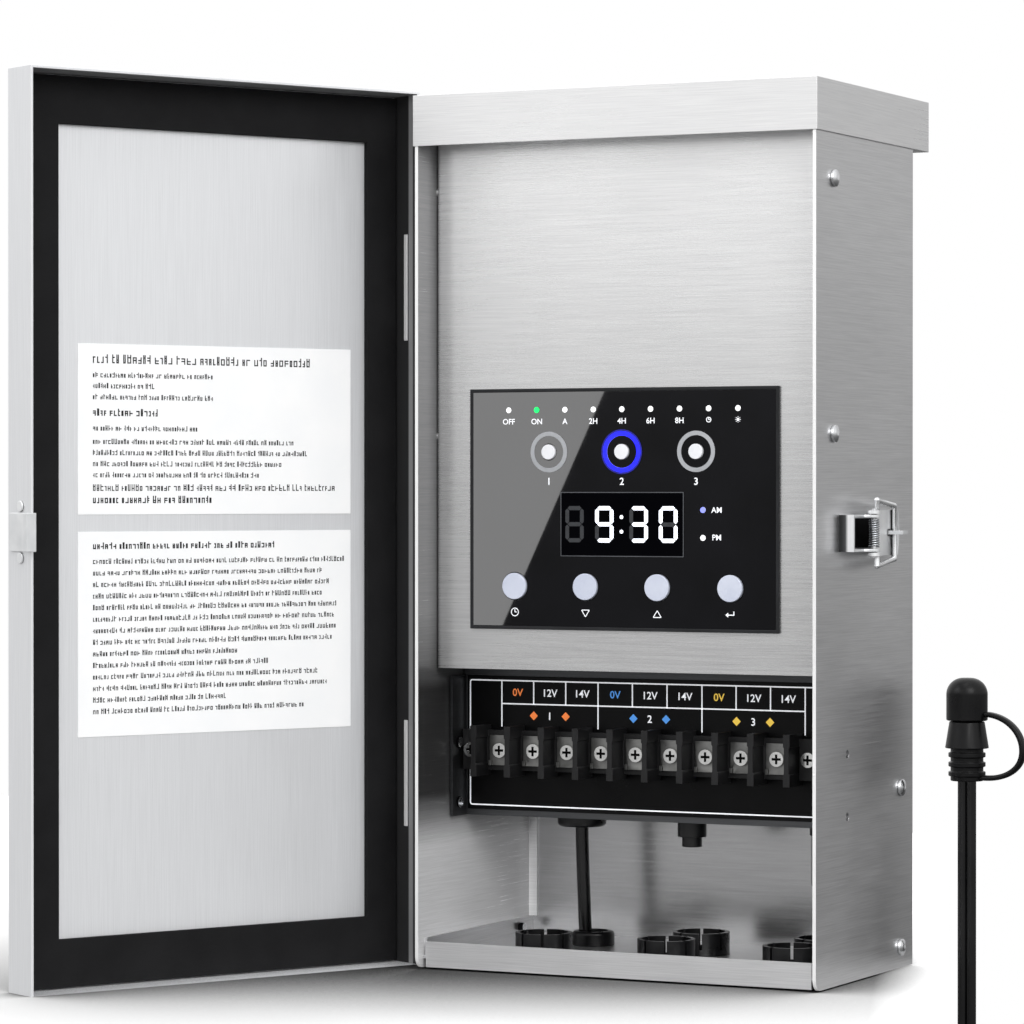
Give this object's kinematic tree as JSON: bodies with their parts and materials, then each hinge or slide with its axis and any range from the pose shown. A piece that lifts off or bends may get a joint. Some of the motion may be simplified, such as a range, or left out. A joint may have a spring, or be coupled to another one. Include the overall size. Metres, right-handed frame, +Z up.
{
  "type": "low voltage landscape transformer",
  "caption": "Wall-hung brushed stainless low-voltage lighting transformer with open tray door, timer panel, terminal strip, sprung latch, coiled mains cord and capped light sensor on a lead",
  "frame": {"origin": "Centre of the wall bracket's two screw holes, on the wall plane", "axes": "+X to the viewer's right along the wall, +Y into the wall, +Z up; the box's front faces -Y"},
  "size_m": [0.3451, 0.2798, 0.6025],
  "materials": {
    "brushed_steel": "horizontal brushed grain",
    "door_steel": "vertical brushed grain",
    "bright_steel": "polished",
    "nickel": "nickel-plated",
    "black_glass": "glossy printed film",
    "black_plastic": "moulded",
    "dark_grey_plastic": "moulded phenolic",
    "black_rubber": "soft",
    "cord_black": "extruded jacket",
    "foam_black": "closed-cell foam",
    "label_black": "printed film",
    "label_white": "printed film",
    "key_white": "translucent",
    "lens_white": "translucent",
    "board_green": "solder mask",
    "winding_tape": "clear tape over enamelled wire",
    "grey_plastic": "moulded",
    "galvanised": "galvanised"
  },
  "bodies": {
    "case": {"case_shell": "brushed_steel", "rain_cap": "brushed_steel", "bottom_pan": "brushed_steel", "front_panel": "brushed_steel", "terminal_bracket": "brushed_steel", "terminal_label": "label_black", "terminal_block": "dark_grey_plastic", "terminal_clamps": "nickel", "terminal_screws": "nickel", "case_screws": "bright_steel", "control_bezel": "dark_grey_plastic", "control_panel": "black_glass", "zone_rings": "grey_plastic", "indicator_lenses": "lens_white", "display_window": "black_glass", "circuit_board": "board_green", "transformer_coil": "winding_tape", "transformer_mount": "galvanised", "mains_gland": "black_plastic", "mains_cord_drop": "cord_black", "mains_coil": "cord_black", "mains_cord_tail": "cord_black", "mains_tie": "black_plastic", "mains_plug": "black_plastic", "plug_blades": "nickel", "cable_grommet": "black_rubber", "snap_bushings_front": "black_plastic", "snap_bushings_rear": "black_plastic", "reset_breaker": "black_plastic", "sensor_jack": "black_plastic", "sensor_plug": "black_rubber", "sensor_lead_drop": "cord_black", "sensor_coil": "cord_black", "sensor_lead_rise": "cord_black", "sensor_tie": "black_plastic", "sensor_body": "black_rubber", "sensor_strap": "black_rubber", "hinge_case_leaves": "bright_steel", "hinge_pins": "bright_steel", "latch_base": "bright_steel", "latch_spring": "nickel", "case_hanger": "galvanised", "wall_bracket": "galvanised", "wall_bumpers": "black_rubber"},
    "door": {"door_shell": "door_steel", "door_gasket": "foam_black", "door_labels": "label_white", "strike_plate": "bright_steel", "hinge_door_leaves": "bright_steel"},
    "lever": {"latch_lever": "bright_steel"},
    "bail": {"latch_bail": "bright_steel"},
    "reset": {"reset_button": "black_plastic"},
    "cap": {"sensor_cap": "black_rubber"},
    "clock_button": {"key_clock": "key_white"},
    "down_button": {"key_down": "key_white"},
    "up_button": {"key_up": "key_white"},
    "enter_button": {"key_enter": "key_white"},
    "zone_1_button": {"zone_key_1": "lens_white"},
    "zone_2_button": {"zone_key_2": "lens_white"},
    "zone_3_button": {"zone_key_3": "lens_white"}
  },
  "joints": [
    {"name": "door_hinge", "type": "hinge", "parent": "case", "child": "door", "pos_m": [-0.0942, -0.1084, -0.117], "axis": [0, 0, 1], "range_deg": [-45, 117.2]},
    {"name": "lever_pivot", "type": "hinge", "parent": "case", "child": "lever", "pos_m": [0.0994, -0.085, -0.1174], "axis": [0, 0, 1], "range_deg": [-160, 0]},
    {"name": "bail_pivot", "type": "hinge", "parent": "lever", "child": "bail", "pos_m": [0.09888, -0.08043, -0.1174], "axis": [0, 0, 1], "range_deg": [-193, 0]},
    {"name": "reset_press", "type": "slide", "parent": "case", "child": "reset", "axis": [0, 0, 1], "range_m": [0, 0.0018], "stiffness_N_per_m": 300},
    {"name": "cap_lift", "type": "slide", "parent": "case", "child": "cap", "axis": [0, 0, 1], "range_m": [0, 0.018], "deforming": ["sensor_strap"]},
    {"name": "clock_press", "type": "slide", "parent": "case", "child": "clock_button", "axis": [0, 1, 0], "range_m": [0, 0.0008], "stiffness_N_per_m": 250},
    {"name": "down_press", "type": "slide", "parent": "case", "child": "down_button", "axis": [0, 1, 0], "range_m": [0, 0.0008], "stiffness_N_per_m": 250},
    {"name": "up_press", "type": "slide", "parent": "case", "child": "up_button", "axis": [0, 1, 0], "range_m": [0, 0.0008], "stiffness_N_per_m": 250},
    {"name": "enter_press", "type": "slide", "parent": "case", "child": "enter_button", "axis": [0, 1, 0], "range_m": [0, 0.0008], "stiffness_N_per_m": 250},
    {"name": "zone_1_press", "type": "slide", "parent": "case", "child": "zone_1_button", "axis": [0, 1, 0], "range_m": [0, 0.0008], "stiffness_N_per_m": 250},
    {"name": "zone_2_press", "type": "slide", "parent": "case", "child": "zone_2_button", "axis": [0, 1, 0], "range_m": [0, 0.0008], "stiffness_N_per_m": 250},
    {"name": "zone_3_press", "type": "slide", "parent": "case", "child": "zone_3_button", "axis": [0, 1, 0], "range_m": [0, 0.0008], "stiffness_N_per_m": 250}
  ]
}
